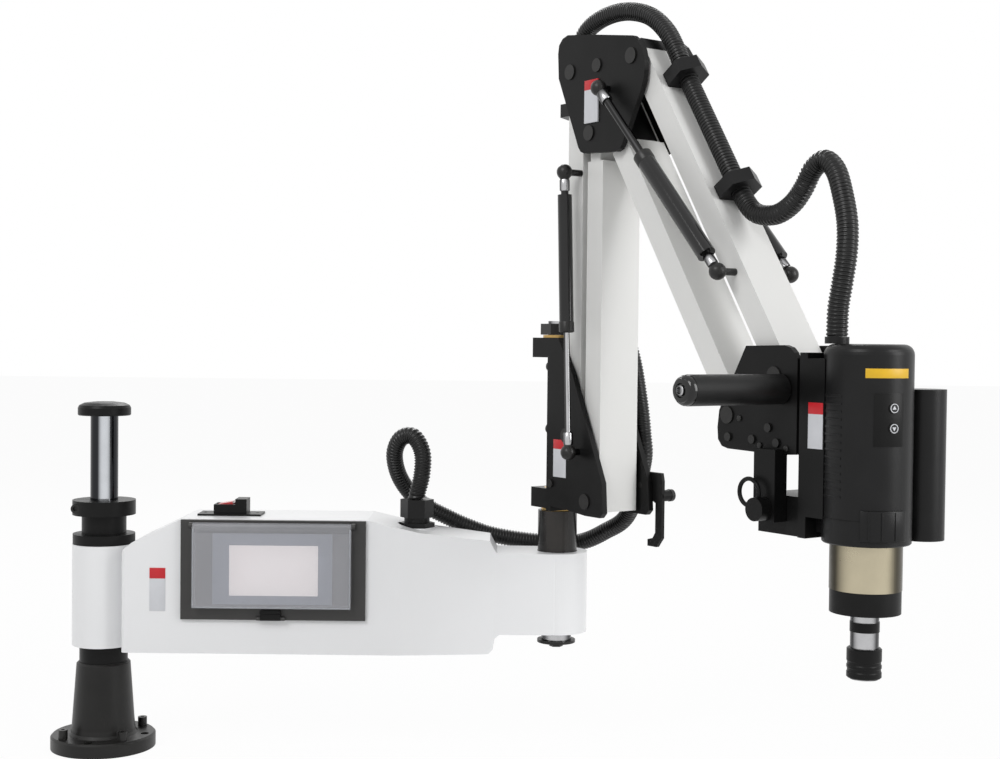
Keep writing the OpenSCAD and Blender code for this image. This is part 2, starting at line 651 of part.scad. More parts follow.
function heading(p, q) = atan2(q[1] - p[1], q[0] - p[0]);

// Puts a spring's piece, drawn along X, onto its stud p, pointing to q, on side s
module spring_at(p, q) translate([p[0], 0, p[1]]) rotate([0, -heading(p, q), 0]) children();

// The eye and stud at a spring's end; the stud reaches in to face_n
module eye(s, face_n) {
    along_y(0, 0, s * gas_n - 5, s * gas_n + 5, socket_d / 2);
    along_y(0, 0, s > 0 ? face_n : -gas_n - 7, s > 0 ? gas_n + 7 : -face_n, 3.5);
}

module gas_cylinder(s, from, l, d, rod, face_n) difference() {
    union() {
        along_x(s * gas_n, 0, from, from + l, d / 2);
        along_x(s * gas_n, 0, 0, from + 1, 4);
        eye(s, face_n);
    }
    along_x(s * gas_n, 0, from + 8, from + l + 1, rod / 2 + run);
}

module gas_rod(s, l, rod, face_n) {
    along_x(s * gas_n, 0, 0, l, rod / 2);
    along_x(s * gas_n, 0, 0, 18, rod / 2 + 1);
    eye(s, face_n);
}

module lower_gas_cylinder() color([0.08, 0.08, 0.08]) swing() spring_at(lower_stud_top, lower_stud)
    gas_cylinder(-1, 24, 142, lower_gas_d, lower_rod_d, tube_n / 2 + gap);
module lower_gas_rod() color([0.75, 0.76, 0.78]) swing() spring_at(lower_stud, lower_stud_top)
    gas_rod(-1, norm(lower_stud_top - lower_stud) - 55, lower_rod_d, plate_out);
module upper_gas_cylinders() color([0.08, 0.08, 0.08]) swing() for (s = [-1, 1])
    spring_at(upper_stud_low, upper_stud) gas_cylinder(s, 22, 136, gas_d, rod_d, tube_n / 2 + gap);
module upper_gas_rods() color([0.75, 0.76, 0.78]) swing() for (s = [-1, 1])
    spring_at(upper_stud, upper_stud_low) gas_rod(s, norm(upper_stud_low - upper_stud) - 62, rod_d, plate_out);

// ---------------------------------------------------------------- hook and clips

module lock_hook() color([0.08, 0.08, 0.08]) swing() difference() {
    union() {
        standing(plate_out + gap, plate_out + gap + 4) polygon([[99, 295], [99, 312], [108, 316], [132, 316],
            [134, 308], [134, 248], [126, 238], [112, 238], [112, 245], [120, 247], [124, 253], [124, 284], [108, 291]]);
        along_y(129, 292, plate_out + 2, plate_out + 14, 6);
    }
    along_y(hook_at[0], hook_at[1], 20, 50, 3 + run);
}

// A hexagonal clip round the conduit, standing on the tube's face
module clip_block() difference() {
    translate([-clip_t / 2, 0, conduit_out]) rotate([0, 90, 0]) hexagon(clip_w, clip_t);
    translate([-clip_t, 0, conduit_out]) rotate([0, 90, 0]) cylinder(h = 2 * clip_t, r = hose_d / 2 + gap);
    translate([-clip_t, -50, tube_w / 2 - 50]) cube([2 * clip_t, 100, 50]);
}

module lower_clip() color([0.08, 0.08, 0.08]) swing() place(rear_low, -90)
    translate([lower_clip_at, 0, 0]) clip_block();
module upper_clips() color([0.08, 0.08, 0.08]) swing() place(upper_top, upper_slope)
    for (x = clip_at) translate([x, 0, 0]) clip_block();

// ---------------------------------------------------------------- handle and plunger

module side_handle() color([0.1, 0.1, 0.1]) swing() difference() {
    along_y(handle_at[0], handle_at[1], -plate_out - head_t - handle_len, -plate_out - head_t - gap, handle_d / 2);
    along_y(handle_at[0], handle_at[1], -300, 0, 5);
}

module handle_core() color([0.7, 0.7, 0.72]) swing() {
    along_y(handle_at[0], handle_at[1], -plate_out - head_t - handle_len - 1, -plate_in, 5);
    along_y(handle_at[0], handle_at[1], -plate_out - head_t - handle_len - 5, -plate_out - head_t - handle_len, 10);
}

module index_plunger() color([0.1, 0.1, 0.1]) swing() {
    along_y(plunger_at[0], plunger_at[1], lock_n - gap - 12, -25.5, 4);
    along_y(plunger_at[0], plunger_at[1], lock_n - gap - 12, lock_n - gap, 10.5);
    translate([plunger_at[0] - 12, lock_n - gap - 6, plunger_at[1] + 14]) rotate([90, 0, 0]) rotate_extrude()
        translate([12, 0]) circle(r = 2, $fn = 24);
}

// ---------------------------------------------------------------- tapping head

module swivel_flange() color([0.1, 0.1, 0.1]) swing() {
    along_x(0, swivel_z, wrist_face + gap, carrier_u, 30);
    along_x(0, swivel_z, wrist_face - 10, carrier_u, 10);
    along_x(0, swivel_z, wrist_face - 15, wrist_face - 9 - gap, 13);
}

module head_carrier() color([0.07, 0.07, 0.07]) swing() difference() {
    union() {
        translate([carrier_u, -plate_out, motor_z + 1]) cube([carrier_t, 2 * plate_out, 162]);
        for (s = [-1, 1]) translate([carrier_u, s > 0 ? plate_out - 5 : -plate_out, motor_z + 20])
            cube([29, 5, 138]);
        translate([carrier_u - 52, -30, motor_z + 1]) cube([54, 60, 35]);
        translate([carrier_u + carrier_t - 1, -20, motor_z + 6]) cube([12, 40, 150]);
    }
    translate([motor_u, 0, motor_z - 1]) cylinder(h = 200, d = motor_d, $fn = 96);
    along_y(plunger_at[0], plunger_at[1], -31, -25, 4 + gap);
}

module motor_cover() color([0.09, 0.09, 0.09]) swing() translate([motor_u, 0, 0]) difference() {
    r = motor_d / 2;
    rotate_extrude($fn = 96) polygon(concat([[14, motor_z], [r - 1, motor_z], [r, motor_z + 1]],
        [for (a = [0:15:90]) [r - 9 + 9 * cos(a), motor_top - 9 + 9 * sin(a)]],
        [[0, motor_top], [0, motor_top - 3]],
        [for (a = [90:-15:0]) [r - 9 + 6 * cos(a), motor_top - 9 + 6 * sin(a)]],
        [[r - 3, motor_z + 3], [14, motor_z + 3]]));
    for (z = button_zs) rotate([0, 0, button_turn]) along_x(0, z, 20, 60, 4.8);
    translate([head_gland_at[0] - motor_u, head_gland_at[1], motor_top - 5]) cylinder(h = 12, r = hose_bore / 2);
}

module push_button(z) swing() translate([motor_u, 0, 0]) rotate([0, 0, button_turn])
    along_x(0, z, motor_d / 2 - 8, motor_d / 2 + 1.2, 4.5);
module button_up() color([0.15, 0.15, 0.15]) push_button(button_zs[0]);
module button_down() color([0.15, 0.15, 0.15]) push_button(button_zs[1]);

module servo_motor() color([0.15, 0.15, 0.16]) swing() translate([motor_u, 0, motor_z + 3]) {
    servo_h = motor_top - motor_z - 61;
    translate([-20, -20, 0]) cube([40, 40, servo_h]);
    translate([0, 0, servo_h - eps]) cylinder(h = 20, r = 16);
}

module gearbox() color([0.72, 0.68, 0.58]) swing() translate([motor_u, 0, gear_z])
    cylinder(h = gear_h, d = gear_d, $fn = 96);

module gearbox_flange() color([0.08, 0.08, 0.08]) swing() translate([motor_u, 0, gear_flange_z]) difference() {
    cylinder(h = gear_flange_h, d = gear_d - 1, $fn = 96);
    translate([0, 0, -1]) cylinder(h = gear_flange_h - 3, r = spindle_d / 2 + run);
}

module connector_cover() color([0.08, 0.08, 0.08]) swing() difference() {
    union() {
        translate([side_at[0], side_at[1], motor_z]) cylinder(h = 132, r = side_r);
        translate([side_at[0] - 6, 30, motor_z + 4]) cube([12, 22, 122]);
    }
    translate([motor_u, 0, motor_z - 1]) cylinder(h = 200, d = motor_d, $fn = 96);
    for (z = [motor_z + 44, motor_z + 62]) translate([side_at[0] - 20, 38.3, z]) cube([40, 2.4, 11]);
}

module head_gland() color([0.1, 0.1, 0.1]) swing() translate([head_gland_at[0], head_gland_at[1], motor_top])
    difference() {
        cylinder(h = head_gland_h, r = hose_d / 2 + 1);
        translate([0, 0, -1]) cylinder(h = head_gland_h + 2, r = hose_bore / 2);
    }

module spindle() color([0.7, 0.7, 0.72]) swing() translate([motor_u, 0, 0]) difference() {
    union() {
        translate([0, 0, chuck_z]) cylinder(h = gear_flange_z + 14 - chuck_z, d = spindle_d);
        translate([0, 0, chuck_z + 41]) cylinder(h = 9, r = spindle_d / 2 + 0.4);
    }
    translate([0, 0, chuck_z - 1]) cylinder(h = chuck_bore_h + 1, d = chuck_bore_d);
}

module chuck_sleeve() color([0.1, 0.1, 0.1]) swing() translate([motor_u, 0, chuck_z + 1]) {
    r = chuck_d / 2;
    rotate_extrude($fn = 64) polygon([[spindle_d / 2 + run, 0], [r - 1, 0], [r, 1], [r, 5], [r - 0.6, 6],
        [r - 0.6, 8], [r, 9], [r, 11], [r - 0.6, 12], [r - 0.6, 14], [r, 15], [r, chuck_h - 1],
        [r - 1, chuck_h], [spindle_d / 2 + run, chuck_h]]);
}

// ---------------------------------------------------------------- conduit

module conduit(route, side = [0, 1, 0]) ribbed_hose(route, hose_d / 2, hose_bore / 2, rib_depth, rib_pitch, side);
module conduit_lower() color([0.07, 0.07, 0.07]) conduit(lower_route);
module conduit_elbow() color([0.07, 0.07, 0.07]) swing() conduit(elbow_route);
module conduit_head() color([0.07, 0.07, 0.07]) swing() conduit(head_route);

pedestal();
levelling_screws();
column();
column_cap();
lower_ring();
bearing_flange();
clamp_collar();
collar_screw();
hub_sleeve();
arm_housing();
bottom_plate();
pivot_boss();
drive_unit();
screen_frame();
touch_screen();
screen_cover();
cover_latch();
switch_plate();
switch_rocker();
arm_gland();
pivot_shaft();
pivot_spacer();
pivot_bushes();
pivot_fasteners();
swing_bracket();
bracket_screws();
lower_rear_tube();
lower_front_tube();
lower_pins();
elbow_plates();
elbow_pins();
upper_top_tube();
upper_low_tube();
wrist_bracket();
wrist_pins();
lower_gas_cylinder();
lower_gas_rod();
upper_gas_cylinders();
upper_gas_rods();
lock_hook();
lower_clip();
upper_clips();
side_handle();
handle_core();
index_plunger();
swivel_flange();
head_carrier();
motor_cover();
servo_motor();
gearbox();
gearbox_flange();
connector_cover();
head_gland();
button_up();
button_down();
spindle();
chuck_sleeve();
conduit_lower();
conduit_elbow();
conduit_head();
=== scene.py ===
from math import atan2, cos, pi, radians, sin

import bpy
from mathutils import Matrix, Vector


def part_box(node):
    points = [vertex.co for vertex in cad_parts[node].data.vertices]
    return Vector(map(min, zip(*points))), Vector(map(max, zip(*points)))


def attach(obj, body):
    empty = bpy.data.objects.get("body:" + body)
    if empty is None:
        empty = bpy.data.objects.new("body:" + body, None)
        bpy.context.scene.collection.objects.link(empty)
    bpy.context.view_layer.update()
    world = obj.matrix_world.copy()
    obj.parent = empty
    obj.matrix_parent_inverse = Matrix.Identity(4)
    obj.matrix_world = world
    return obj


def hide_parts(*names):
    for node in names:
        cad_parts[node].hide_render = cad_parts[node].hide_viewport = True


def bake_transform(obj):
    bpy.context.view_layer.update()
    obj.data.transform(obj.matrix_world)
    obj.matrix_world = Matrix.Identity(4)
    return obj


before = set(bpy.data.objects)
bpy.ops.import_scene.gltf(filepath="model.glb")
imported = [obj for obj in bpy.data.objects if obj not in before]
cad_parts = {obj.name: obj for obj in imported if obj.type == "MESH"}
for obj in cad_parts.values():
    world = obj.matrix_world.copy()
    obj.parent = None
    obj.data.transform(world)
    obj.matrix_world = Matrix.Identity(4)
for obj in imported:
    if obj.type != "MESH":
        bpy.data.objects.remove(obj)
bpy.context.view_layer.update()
MM = 0.001


# ------------------------------------------------------------------ studio
# A pale floor and backdrop, soft lamps and the camera, at the photograph's viewing angle.
# The background is white to the camera, in mirrors and through clear plastic only, so that
# the light on the machine stays plain.
def nodes_of(material):
    material.use_nodes = True
    tree = material.node_tree
    tree.nodes.clear()
    return tree, tree.nodes, tree.links


def seen_ray(nodes, links):
    """1 for what the camera, a mirror or clear plastic shows of the background."""
    path = nodes.new("ShaderNodeLightPath")
    most = path.outputs["Is Camera Ray"]
    for ray in ("Is Glossy Ray", "Is Transmission Ray"):
        both = nodes.new("ShaderNodeMath")
        both.operation = "MAXIMUM"
        links.new(most, both.inputs[0])
        links.new(path.outputs[ray], both.inputs[1])
        most = both.outputs[0]
    return most


def white_to_camera(tree, plain):
    """The plain shader, but white light to the camera and in reflections."""
    nodes, links = tree.nodes, tree.links
    glow = nodes.new("ShaderNodeEmission")
    glow.inputs["Color"].default_value = (1, 1, 1, 1)
    mix = nodes.new("ShaderNodeMixShader")
    links.new(seen_ray(nodes, links), mix.inputs[0])
    links.new(plain, mix.inputs[1])
    links.new(glow.outputs[0], mix.inputs[2])
    return mix.outputs[0]


def deselect():
    for o in list(bpy.context.selected_objects):
        o.select_set(False)


scene = bpy.context.scene
scene.view_settings.view_transform = "Standard"
world = bpy.data.worlds.new("studio")
scene.world = world
tree, nodes, links = nodes_of(world)
back = nodes.new("ShaderNodeBackground")
back.inputs["Color"].default_value = (1, 1, 1, 1)
back.inputs["Strength"].default_value = 0.42
bright = nodes.new("ShaderNodeBackground")
bright.inputs["Color"].default_value = (1, 1, 1, 1)
bright.inputs["Strength"].default_value = 1
mix = nodes.new("ShaderNodeMixShader")
out = nodes.new("ShaderNodeOutputWorld")
links.new(seen_ray(nodes, links), mix.inputs[0])
links.new(back.outputs[0], mix.inputs[1])
links.new(bright.outputs[0], mix.inputs[2])
links.new(mix.outputs[0], out.inputs[0])

deselect()
bpy.ops.mesh.primitive_plane_add(size=30, location=(0.4, 0, 0))
floor = bpy.context.object
floor.name = "floor"
floor_paint = bpy.data.materials.new("floor_paint")
tree, nodes, links = nodes_of(floor_paint)
matte = nodes.new("ShaderNodeBsdfDiffuse")
matte.inputs["Color"].default_value = (0.82, 0.82, 0.82, 1)
fade = nodes.new("ShaderNodeMixShader")
fade.inputs[0].default_value = 0.95
glow = nodes.new("ShaderNodeEmission")
glow.inputs["Color"].default_value = (1, 1, 1, 1)
out = nodes.new("ShaderNodeOutputMaterial")
links.new(matte.outputs[0], fade.inputs[1])
links.new(white_to_camera(tree, matte.outputs[0]), fade.inputs[2])
links.new(fade.outputs[0], out.inputs[0])
floor.data.materials.append(floor_paint)


def lamp(name, place, aim, size, power):
    data = bpy.data.lights.new(name, "AREA")
    data.shape = "RECTANGLE"
    data.size, data.size_y = size
    data.energy = power
    ob = bpy.data.objects.new(name, data)
    scene.collection.objects.link(ob)
    ob.location = place
    ob.rotation_euler = (Vector(aim) - Vector(place)).to_track_quat("-Z", "Y").to_euler()


lamp("key_lamp", (-1.1, -2.2, 2.4), (0.4, 0, 0.35), (1.4, 1.4), 42)
lamp("side_lamp", (2.6, -1.3, 1.2), (0.5, -0.1, 0.4), (0.9, 1.8), 30)
lamp("back_lamp", (0.3, 2.0, 1.9), (0.4, 0, 0.4), (1.8, 0.9), 26)

lens = bpy.data.cameras.new("camera")
lens.lens = 54
lens.sensor_width = 36
lens.clip_end = 60
camera = bpy.data.objects.new("camera", lens)
scene.collection.objects.link(camera)
camera.matrix_world = (Matrix.Translation((0.435, -1.65, 0.453)) @ Matrix.Rotation(radians(88.5), 4, "X")
                       @ Matrix.Rotation(radians(0.6), 4, "Z"))
scene.camera = camera


# ------------------------------------------------------------------ pedestal and column
# Cast iron foot and cone under satin black paint, with black machined rings above it and a
# hard chromed column. The cast skin is slightly pitted, and its tone and gloss drift.
COLOUR_A, COLOUR_B, COLOUR_OUT = 6, 7, 2  # sockets of a Mix node that mixes colours


def finish(name, colour, rough, metal=0.0, grain=(400, 0.02), tone=0.12, rough_by=0.08, spots=30,
           coat=0.0, alpha=1.0, shine=0.5, painted_rim_colour=None, painted_rim_range=(0.05, 0.45)):
    """A surface with a fine relief, drifting tone and uneven gloss, all in object space.

    grain is the relief's scale and depth. The rim colour and its range paint reflection and shade into the
    colour: the surface darkens towards it as it turns away from the view."""
    m = bpy.data.materials.new(name)
    tree, nodes, links = nodes_of(m)
    shader = nodes.new("ShaderNodeBsdfPrincipled")
    out = nodes.new("ShaderNodeOutputMaterial")
    links.new(shader.outputs[0], out.inputs[0])
    shader.inputs["Metallic"].default_value = metal
    shader.inputs["Coat Weight"].default_value = coat
    shader.inputs["Coat Roughness"].default_value = 0.15
    shader.inputs["Alpha"].default_value = alpha
    shader.inputs["Specular IOR Level"].default_value = shine
    place = nodes.new("ShaderNodeTexCoord")
    cloud = nodes.new("ShaderNodeTexNoise")
    cloud.inputs["Scale"].default_value = spots
    cloud.inputs["Detail"].default_value = 5
    links.new(place.outputs["Object"], cloud.inputs["Vector"])
    ramp = nodes.new("ShaderNodeValToRGB")
    ramp.color_ramp.elements[0].position = 0.3
    ramp.color_ramp.elements[1].position = 0.72
    ramp.color_ramp.elements[0].color = (*[c * (1 - tone) for c in colour], 1)
    ramp.color_ramp.elements[1].color = (*[min(1, c * (1 + tone)) for c in colour], 1)
    links.new(cloud.outputs["Fac"], ramp.inputs[0])
    tint = ramp.outputs[0]
    # Painted reflection and shade: where the surface turns away from the view, the base colour blends to the
    # dark rim colour.
    if painted_rim_colour:
        facing = nodes.new("ShaderNodeLayerWeight")
        facing.inputs["Blend"].default_value = 0.45
        steps = nodes.new("ShaderNodeMapRange")
        steps.inputs["From Min"].default_value = painted_rim_range[0]
        steps.inputs["From Max"].default_value = painted_rim_range[1]
        steps.interpolation_type = "SMOOTHSTEP"
        rim = nodes.new("ShaderNodeMix")
        rim.data_type = "RGBA"
        rim.inputs[COLOUR_B].default_value = (*painted_rim_colour, 1)
        links.new(facing.outputs["Facing"], steps.inputs["Value"])
        links.new(steps.outputs[0], rim.inputs[0])
        links.new(tint, rim.inputs[COLOUR_A])
        tint = rim.outputs[COLOUR_OUT]
    links.new(tint, shader.inputs["Base Color"])
    gloss = nodes.new("ShaderNodeMapRange")
    gloss.inputs["To Min"].default_value = max(0.02, rough - rough_by)
    gloss.inputs["To Max"].default_value = min(1, rough + rough_by)
    links.new(cloud.outputs["Fac"], gloss.inputs["Value"])
    links.new(gloss.outputs[0], shader.inputs["Roughness"])
    fine = nodes.new("ShaderNodeTexNoise")
    fine.inputs["Scale"].default_value = grain[0]
    fine.inputs["Detail"].default_value = 3
    links.new(place.outputs["Object"], fine.inputs["Vector"])
    bump = nodes.new("ShaderNodeBump")
    bump.inputs["Strength"].default_value = min(1, grain[1] * 10)
    bump.inputs["Distance"].default_value = 0.0002
    links.new(fine.outputs["Fac"], bump.inputs["Height"])
    links.new(bump.outputs[0], shader.inputs["Normal"])
    return m


def dress(material, *names):
    for name in names:
        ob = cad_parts[name]
        if not ob.material_slots:
            ob.data.materials.append(material)
        for s in ob.material_slots:
            s.material = material


cast_black = finish("cast_black", (0.009, 0.0086, 0.008), 0.4, grain=(260, 0.05), spots=18, tone=0.35,
                    rough_by=0.12, shine=0.3)
satin_black = finish("satin_black", (0.006, 0.006, 0.006), 0.38, grain=(700, 0.02), spots=25, tone=0.35,
                     rough_by=0.1, shine=0.16)
# The chrome and the turned steel are painted darker towards their rims: painted reflection in the base colour,
# bright face-on and near black at the edges.
chrome = finish("hard_chrome", (0.62, 0.64, 0.67), 0.1, metal=1, grain=(900, 0), spots=60, tone=0.05,
                rough_by=0.03, painted_rim_colour=(0.03, 0.031, 0.034), painted_rim_range=(0.0, 0.12))
oxide = finish("black_oxide", (0.012, 0.0115, 0.011), 0.36, grain=(900, 0.02), spots=120, tone=0.3, shine=0.35)
steel = finish("turned_steel", (0.5, 0.5, 0.51), 0.24, metal=1, grain=(600, 0.002), spots=150, tone=0.06,
               rough_by=0.04, painted_rim_colour=(0.06, 0.06, 0.062))
dress(cast_black, "pedestal")
dress(satin_black, "lower_ring", "bearing_flange", "clamp_collar", "column_cap")
dress(chrome, "column")
dress(oxide, "levelling_screws", "collar_screw")

# ------------------------------------------------------------------ control arm
# A folded and welded sheet housing in white paint with a faint orange peel, on a white hub
# sleeve, and at its far end the pivot: steel boss and shaft in a black spacer. A bare label,
# red above white, is stuck by the screen.
white_paint = finish("white_paint", (0.83, 0.835, 0.845), 0.32, grain=(180, 0.002), spots=6, tone=0.01,
                     rough_by=0.02, coat=0.1)
dress(white_paint, "hub_sleeve", "arm_housing", "bottom_plate")
dress(steel, "pivot_boss", "pivot_shaft")
# The spacer's black is painted darker still towards its rim: painted shade in its colour.
spacer_black = finish("spacer_black", (0.016, 0.013, 0.011), 0.24, grain=(900, 0.002), spots=12, tone=0.5,
                      rough_by=0.05, shine=0.4, painted_rim_colour=(0.004, 0.004, 0.004))
dress(spacer_black, "pivot_spacer")
dress(oxide, "pivot_fasteners")
dress(finish("bronze", (0.5, 0.33, 0.12), 0.35, metal=1, spots=200), "pivot_bushes")
dress(finish("unit_case", (0.16, 0.17, 0.18), 0.5), "drive_unit", "servo_motor")

ARM_END = 500
TURN = radians(55)
SWING = Matrix.Translation((ARM_END * MM, 0, 0)) @ Matrix.Rotation(-TURN, 4, "Z")


def pick(ob):
    """Selects this piece alone, for the operators that follow."""
    deselect()
    ob.select_set(True)
    bpy.context.view_layer.objects.active = ob


def settle(ob, name, body, material, matrix=Matrix.Identity(4), bevel=0.0):
    """Names a new piece, rounds its edges, puts its place into its mesh and lets it ride."""
    ob.name = ob.data.name = name
    ob.data.transform(matrix @ ob.matrix_world)
    ob.matrix_world = Matrix.Identity(4)
    ob.data.materials.clear()
    ob.data.materials.append(material)
    pick(ob)
    if bevel:
        mod = ob.modifiers.new("round", "BEVEL")
        mod.width = bevel
        mod.segments = 2
        mod.limit_method = "ANGLE"
        bpy.ops.object.modifier_apply(modifier="round")
    bpy.ops.object.shade_smooth_by_angle(angle=radians(35))
    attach(ob, body)


def block(name, centre, size, body, material, matrix=Matrix.Identity(4), bevel=0.0):
    """A block with rounded edges, given in millimetres."""
    deselect()
    bpy.ops.mesh.primitive_cube_add(size=1, location=[c * MM for c in centre])
    ob = bpy.context.object
    ob.scale = [s * MM for s in size]
    bpy.context.view_layer.update()
    settle(ob, name, body, material, matrix, bevel)


label_red = finish("label_red", (0.55, 0.012, 0.02), 0.4, spots=80, tone=0.06)
label_white = finish("label_white", (0.62, 0.63, 0.66), 0.42, spots=80, tone=0.03)
label_yellow = finish("label_yellow", (0.72, 0.43, 0.012), 0.4, spots=80, tone=0.05)


def label(name, centre, wide, low, split, high, thick, body, matrix=Matrix.Identity(4)):
    """A bare label on a face towards the viewer: red from split to high, white from low to split."""
    x, y = centre
    for part, under, over, colour in (("_top", split, high, label_red), ("", low, split, label_white)):
        block(name + part, (x, y, (under + over) / 2), (wide, thick, over - under), body, colour, matrix,
              bevel=0.0001)


label("arm_label", (69.5, -46.2), 17, 158.5, 193.5, 205, 0.5, "control_arm")


def turned(name, profile, body, material, place, steps=40):
    """A lathe-turned piece: radius and height pairs in millimetres, spun round its own axis."""
    mesh = bpy.data.meshes.new(name)
    edges = [(i, i + 1) for i in range(len(profile) - 1)]
    mesh.from_pydata([(r * MM, 0, z * MM) for r, z in profile], edges, [])
    ob = bpy.data.objects.new(name, mesh)
    scene.collection.objects.link(ob)
    pick(ob)
    bpy.ops.object.mode_set(mode="EDIT")
    bpy.ops.mesh.select_all(action="SELECT")
    bpy.ops.mesh.spin(steps=steps, angle=2 * pi, center=(0, 0, 0), axis=(0, 0, 1))
    bpy.ops.mesh.select_all(action="SELECT")
    bpy.ops.mesh.remove_doubles(threshold=1e-6)
    bpy.ops.mesh.normals_make_consistent(inside=False)
    bpy.ops.object.mode_set(mode="OBJECT")
    settle(ob, name, body, material, place)


def to_viewer(u, n, z):
    """The place of a turned piece whose axis points out of the swing plane, towards the viewer."""
    return SWING @ Matrix.Translation((u * MM, n * MM, z * MM)) @ Matrix.Rotation(pi / 2, 4, "X")


def disc(r, h, round_by=0.8, hollow=0.0, deep=0.0):
    """Profile of a round head with a rounded rim and, where asked, a socket."""
    rim = [(r - round_by * (1 - cos(radians(t))), h - round_by * (1 - sin(radians(t))))
           for t in (0, 30, 60, 90)]
    top = [(hollow, h), (hollow, h - deep), (0, h - deep)] if hollow else [(0, h)]
    return [(0, 0), (r, 0)] + rim + top


turned("boss_ring", [(14, -9.5), (16.4, -9.5), (16.4, 0), (14, 0), (14, -9.5)], "control_arm", steel,
       Matrix.Translation((ARM_END * MM, 0, 134 * MM)), 48)

# ------------------------------------------------------------------ screen and its cover
# A touch panel in a pale bezel, set in a dark moulded frame, under a clear moulded cover
# that hinges at the top and latches at the bottom. The lit area is pale and has no picture.
frame_grey = finish("frame_plastic", (0.03, 0.029, 0.028), 0.5, grain=(1500, 0.03), spots=40)
bezel_grey = finish("bezel_plastic", (0.26, 0.3, 0.38), 0.4, grain=(1200, 0.015), spots=40, tone=0.04)
dress(frame_grey, "screen_frame")
dress(bezel_grey, "touch_screen")
dress(satin_black, "cover_latch", "switch_plate")
dress(finish("rocker_red", (0.6, 0.025, 0.03), 0.25, grain=(900, 0.01), coat=0.4), "switch_rocker")
cover_clear = finish("cover_clear", (0.56, 0.565, 0.6), 0.16, grain=(900, 0), tone=0.02, rough_by=0.04,
                     alpha=0.36)
dress(cover_clear, "screen_cover")
lit = bpy.data.materials.new("lit_panel")
tree, nodes, links = nodes_of(lit)
shader = nodes.new("ShaderNodeBsdfPrincipled")
out = nodes.new("ShaderNodeOutputMaterial")
links.new(shader.outputs[0], out.inputs[0])
shader.inputs["Roughness"].default_value = 0.2
shader.inputs["Emission Strength"].default_value = 0.5
place = nodes.new("ShaderNodeTexCoord")
cloud = nodes.new("ShaderNodeTexNoise")
cloud.inputs["Scale"].default_value = 9
links.new(place.outputs["Object"], cloud.inputs["Vector"])
ramp = nodes.new("ShaderNodeValToRGB")
ramp.color_ramp.elements[0].color = (0.9, 0.8, 0.78, 1)
ramp.color_ramp.elements[1].color = (0.97, 0.93, 0.92, 1)
links.new(cloud.outputs["Fac"], ramp.inputs[0])
links.new(ramp.outputs[0], shader.inputs["Base Color"])
links.new(ramp.outputs[0], shader.inputs["Emission Color"])
block("lit_area", (195, -52.1, 204), (95, 0.5, 54), "control_arm", lit)
lid_edge = finish("lid_edge", (0.6, 0.62, 0.66), 0.2, grain=(900, 0), tone=0.03, alpha=0.55)
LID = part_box("screen_cover")
left, right, bottom, top = (v / MM for v in (LID[0][0], LID[1][0], LID[0][2], LID[1][2]))
front = LID[0][1] / MM
EDGE, DEEP, HINGE = 1.6, 2, 6
middle, tall = (bottom + top - HINGE) / 2, top - HINGE - bottom
for name, x, z, wide, high in (
        ("lid_edge_low", (left + right) / 2, bottom + EDGE / 2, right - left, EDGE),
        ("lid_edge_left", left + EDGE / 2, middle, EDGE, tall),
        ("lid_edge_right", right - EDGE / 2, middle, EDGE, tall)):
    block(name, (x, front + DEEP / 2, z), (wide, DEEP, high), "cover", lid_edge, bevel=0.0004)

# ------------------------------------------------------------------ swing bracket
# A welded steel bracket in satin black on the pivot shaft, with screws and a hook that
# locks the arm for transport. A bare red and white label is stuck on its near side plate.
dress(satin_black, "swing_bracket", "lock_hook")
dress(oxide, "bracket_screws", "lower_pins", "elbow_pins", "wrist_pins")
PLATE_FACE = -34
label("bracket_label", (47.5, PLATE_FACE - 0.2), 22, 308, 338, 348, 0.5, "swing_bracket", SWING)
turned("hook_stud", disc(6.5, 5, 1.2, 3, 3), "hook", oxide,
       to_viewer(129, 48, 292) @ Matrix.Rotation(pi, 4, "X"))

# ------------------------------------------------------------------ arm tubes and plates
# Four drawn tubes in white paint between cut steel plates in satin black. The upper ones
# have a black end cap and a black fitting, and the plates a bare label and small screws.
tube_white = finish("tube_white", (0.74, 0.74, 0.725), 0.34, grain=(500, 0.008), spots=5, tone=0.02,
                    rough_by=0.05)
moulded = finish("moulded_black", (0.0075, 0.0075, 0.0078), 0.36, grain=(1600, 0.03), spots=30, tone=0.2,
                 shine=0.22)
dress(tube_white, "lower_rear_tube", "lower_front_tube", "upper_top_tube", "upper_low_tube")
dress(satin_black, "elbow_plates", "wrist_bracket", "index_plunger")
label("elbow_label", (95.7, PLATE_FACE - 0.9), 22, 678, 712, 722, 1.9, "elbow", SWING)


def slope(a, b, n):
    """The place of a piece whose axis runs from pin a to pin b in the swing plane."""
    return (SWING @ Matrix.Translation((a[0] * MM, n * MM, a[1] * MM))
            @ Matrix.Rotation(atan2(b[0] - a[0], b[1] - a[1]), 4, "Y"))


UPPER_TOP, WRIST_TOP = (157, 738), (360.7, 424.3)
UPPER_LOW, WRIST_LOW = (98, 700), (301.7, 386.3)
block("upper_end_cap", (0, 0, -7), (26, 51, 14), "upper_top", moulded, slope(UPPER_TOP, WRIST_TOP, 0),
      bevel=0.0015)
block("upper_low_fitting", (0, 0, 24), (17, 50.6, 64), "upper_low", satin_black,
      slope(UPPER_LOW, WRIST_LOW, 0), bevel=0.004)
for i, (u, z) in enumerate([(344.5, 361), (318, 384), (377, 360)]):
    turned(f"plate_screw_{i}", disc(2.8, 1.8, 0.9), "wrist", oxide, to_viewer(u, PLATE_FACE, z), 20)

